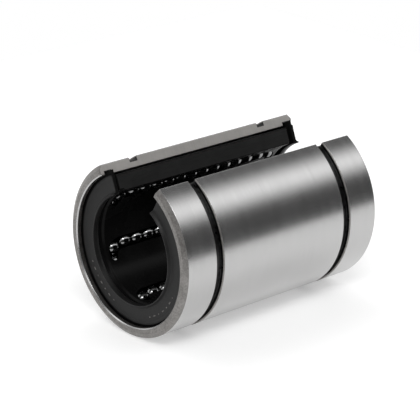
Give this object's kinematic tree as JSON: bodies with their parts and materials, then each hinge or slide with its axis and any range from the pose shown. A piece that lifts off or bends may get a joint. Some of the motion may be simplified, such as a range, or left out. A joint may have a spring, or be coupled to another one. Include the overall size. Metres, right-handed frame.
{
  "type": "linear ball bushing",
  "caption": "Open-type linear ball bushing: grooved steel sleeve, plastic cage with recirculating ball circuits, end seals and a lengthwise opening for a supported shaft.",
  "frame": {"origin": "on the bushing's axis at mid-length", "axes": "+X along the axis from the front end to the rear end, +Z through the middle of the sleeve's lengthwise opening"},
  "size_m": [0.059, 0.04, 0.0373],
  "materials": {
    "sleeve_steel": "ground outside diameter, matte hardened ends and opening faces",
    "ball_steel": "polished bearing steel",
    "cage_plastic": "black moulded plastic, satin",
    "seal_rubber": "black rubber, matte"
  },
  "bodies": {
    "sleeve_and_cage": {"outer_sleeve": "sleeve_steel", "ball_cage": "cage_plastic", "front_seal": "seal_rubber", "rear_seal": "seal_rubber"},
    "load_row_1": {"load_row_1": "ball_steel"},
    "return_row_1": {"return_row_1": "ball_steel"},
    "front_turn_1": {"front_turn_1": "ball_steel"},
    "rear_turn_1": {"rear_turn_1": "ball_steel"},
    "load_row_2": {"load_row_2": "ball_steel"},
    "return_row_2": {"return_row_2": "ball_steel"},
    "front_turn_2": {"front_turn_2": "ball_steel"},
    "rear_turn_2": {"rear_turn_2": "ball_steel"},
    "load_row_3": {"load_row_3": "ball_steel"},
    "return_row_3": {"return_row_3": "ball_steel"},
    "front_turn_3": {"front_turn_3": "ball_steel"},
    "rear_turn_3": {"rear_turn_3": "ball_steel"},
    "load_row_4": {"load_row_4": "ball_steel"},
    "return_row_4": {"return_row_4": "ball_steel"},
    "front_turn_4": {"front_turn_4": "ball_steel"},
    "rear_turn_4": {"rear_turn_4": "ball_steel"},
    "load_row_5": {"load_row_5": "ball_steel"},
    "return_row_5": {"return_row_5": "ball_steel"},
    "front_turn_5": {"front_turn_5": "ball_steel"},
    "rear_turn_5": {"rear_turn_5": "ball_steel"}
  },
  "joints": [
    {"name": "load_slide_1", "type": "slide", "parent": "sleeve_and_cage", "child": "load_row_1", "axis": [1, 0, 0], "range_m": [-0.00175, 0.00175]},
    {"name": "return_slide_1", "type": "slide", "parent": "sleeve_and_cage", "child": "return_row_1", "axis": [1, 0, 0], "range_m": [-0.00175, 0.00175]},
    {"name": "front_turn_hinge_1", "type": "hinge", "parent": "sleeve_and_cage", "child": "front_turn_1", "pos_m": [-0.021, 0.01218, 0.00795], "axis": [0, 0.6939, 0.7201], "range_deg": [-40.2, 40.2]},
    {"name": "rear_turn_hinge_1", "type": "hinge", "parent": "sleeve_and_cage", "child": "rear_turn_1", "pos_m": [0.021, 0.01218, 0.00795], "axis": [0, 0.6939, 0.7201], "range_deg": [-40.2, 40.2]},
    {"name": "load_slide_2", "type": "slide", "parent": "sleeve_and_cage", "child": "load_row_2", "axis": [1, 0, 0], "range_m": [-0.00175, 0.00175]},
    {"name": "return_slide_2", "type": "slide", "parent": "sleeve_and_cage", "child": "return_row_2", "axis": [1, 0, 0], "range_m": [-0.00175, 0.00175]},
    {"name": "front_turn_hinge_2", "type": "hinge", "parent": "sleeve_and_cage", "child": "front_turn_2", "pos_m": [-0.021, 0.01298, -0.00657], "axis": [0, 0.9706, -0.2409], "range_deg": [-40.2, 40.2]},
    {"name": "rear_turn_hinge_2", "type": "hinge", "parent": "sleeve_and_cage", "child": "rear_turn_2", "pos_m": [0.021, 0.01298, -0.00657], "axis": [0, 0.9706, -0.2409], "range_deg": [-40.2, 40.2]},
    {"name": "load_slide_3", "type": "slide", "parent": "sleeve_and_cage", "child": "load_row_3", "axis": [1, 0, 0], "range_m": [-0.00175, 0.00175]},
    {"name": "return_slide_3", "type": "slide", "parent": "sleeve_and_cage", "child": "return_row_3", "axis": [1, 0, 0], "range_m": [-0.00175, 0.00175]},
    {"name": "front_turn_hinge_3", "type": "hinge", "parent": "sleeve_and_cage", "child": "front_turn_3", "pos_m": [-0.021, 0.0008, -0.01453], "axis": [0, 0.2767, -0.961], "range_deg": [-40.2, 40.2]},
    {"name": "rear_turn_hinge_3", "type": "hinge", "parent": "sleeve_and_cage", "child": "rear_turn_3", "pos_m": [0.021, 0.0008, -0.01453], "axis": [0, 0.2767, -0.961], "range_deg": [-40.2, 40.2]},
    {"name": "load_slide_4", "type": "slide", "parent": "sleeve_and_cage", "child": "load_row_4", "axis": [1, 0, 0], "range_m": [-0.00175, 0.00175]},
    {"name": "return_slide_4", "type": "slide", "parent": "sleeve_and_cage", "child": "return_row_4", "axis": [1, 0, 0], "range_m": [-0.00175, 0.00175]},
    {"name": "front_turn_hinge_4", "type": "hinge", "parent": "sleeve_and_cage", "child": "front_turn_4", "pos_m": [-0.021, -0.01218, -0.00795], "axis": [0, -0.6939, -0.7201], "range_deg": [-40.2, 40.2]},
    {"name": "rear_turn_hinge_4", "type": "hinge", "parent": "sleeve_and_cage", "child": "rear_turn_4", "pos_m": [0.021, -0.01218, -0.00795], "axis": [0, -0.6939, -0.7201], "range_deg": [-40.2, 40.2]},
    {"name": "load_slide_5", "type": "slide", "parent": "sleeve_and_cage", "child": "load_row_5", "axis": [1, 0, 0], "range_m": [-0.00175, 0.00175]},
    {"name": "return_slide_5", "type": "slide", "parent": "sleeve_and_cage", "child": "return_row_5", "axis": [1, 0, 0], "range_m": [-0.00175, 0.00175]},
    {"name": "front_turn_hinge_5", "type": "hinge", "parent": "sleeve_and_cage", "child": "front_turn_5", "pos_m": [-0.021, -0.01298, 0.00657], "axis": [0, -0.9706, 0.2409], "range_deg": [-40.2, 40.2]},
    {"name": "rear_turn_hinge_5", "type": "hinge", "parent": "sleeve_and_cage", "child": "rear_turn_5", "pos_m": [0.021, -0.01298, 0.00657], "axis": [0, -0.9706, 0.2409], "range_deg": [-40.2, 40.2]}
  ],
  "couplings": [
    {"joint": "return_slide_1", "follows": "load_slide_1", "ratio": -1},
    {"joint": "front_turn_hinge_1", "follows": "load_slide_1", "rad_per_m": 400.94},
    {"joint": "rear_turn_hinge_1", "follows": "load_slide_1", "rad_per_m": 400.94},
    {"joint": "load_slide_2", "follows": "load_slide_1", "ratio": 1},
    {"joint": "return_slide_2", "follows": "load_slide_1", "ratio": -1},
    {"joint": "front_turn_hinge_2", "follows": "load_slide_1", "rad_per_m": 400.94},
    {"joint": "rear_turn_hinge_2", "follows": "load_slide_1", "rad_per_m": 400.94},
    {"joint": "load_slide_3", "follows": "load_slide_1", "ratio": 1},
    {"joint": "return_slide_3", "follows": "load_slide_1", "ratio": -1},
    {"joint": "front_turn_hinge_3", "follows": "load_slide_1", "rad_per_m": 400.94},
    {"joint": "rear_turn_hinge_3", "follows": "load_slide_1", "rad_per_m": 400.94},
    {"joint": "load_slide_4", "follows": "load_slide_1", "ratio": 1},
    {"joint": "return_slide_4", "follows": "load_slide_1", "ratio": -1},
    {"joint": "front_turn_hinge_4", "follows": "load_slide_1", "rad_per_m": 400.94},
    {"joint": "rear_turn_hinge_4", "follows": "load_slide_1", "rad_per_m": 400.94},
    {"joint": "load_slide_5", "follows": "load_slide_1", "ratio": 1},
    {"joint": "return_slide_5", "follows": "load_slide_1", "ratio": -1},
    {"joint": "front_turn_hinge_5", "follows": "load_slide_1", "rad_per_m": 400.94},
    {"joint": "rear_turn_hinge_5", "follows": "load_slide_1", "rad_per_m": 400.94}
  ]
}
